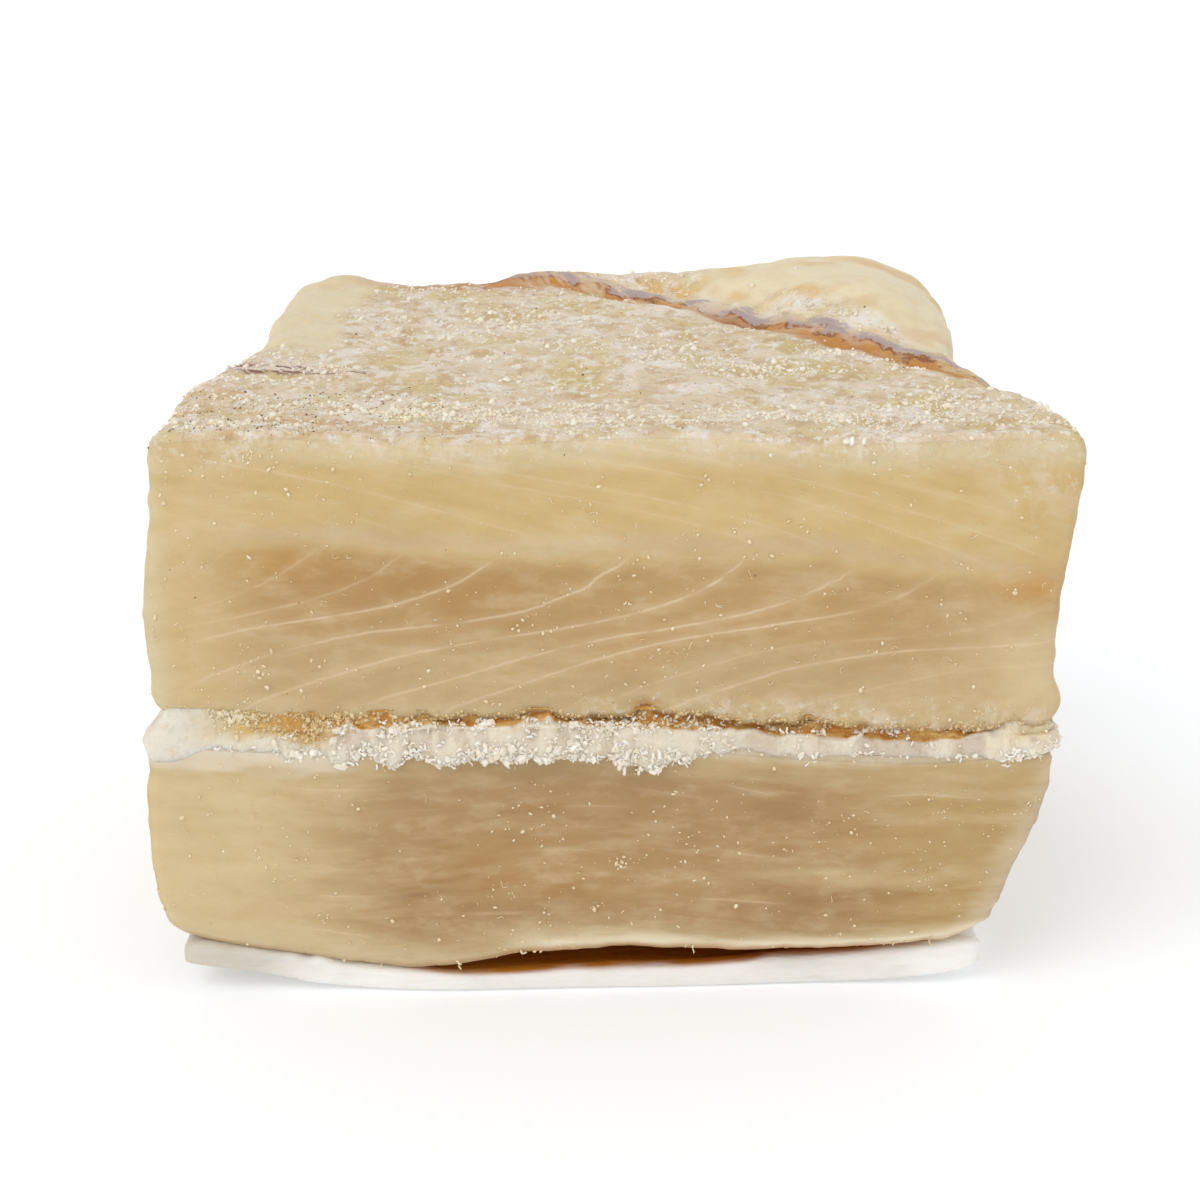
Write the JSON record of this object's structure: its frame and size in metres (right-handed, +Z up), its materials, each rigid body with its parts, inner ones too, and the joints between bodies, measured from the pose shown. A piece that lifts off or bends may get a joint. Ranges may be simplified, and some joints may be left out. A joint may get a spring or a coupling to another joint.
{
  "type": "salted dried cod",
  "caption": "Block of salted dried cod: thick waxy loin slabs stacked on a sheet of skin and bonded by a crust of coarse salt, cut flush at the front.",
  "frame": {"origin": "centre of the bounding box's base, on the surface that the block rests on", "axes": "+Z up through the layers, the cut front faces -Y, +X runs across the cut front"},
  "size_m": [0.1244, 0.0974, 0.0869],
  "materials": {
    "upper_flesh": "waxy, satin, salt grained on top",
    "salt": "matt crystalline crust",
    "lower_flesh": "waxy, satin, finely streaked",
    "skin": "smooth, satin"
  },
  "bodies": {
    "root": {"upper_loin": "upper_flesh", "salt_seam": "salt", "lower_loin": "lower_flesh", "skin": "skin"}
  },
  "joints": []
}
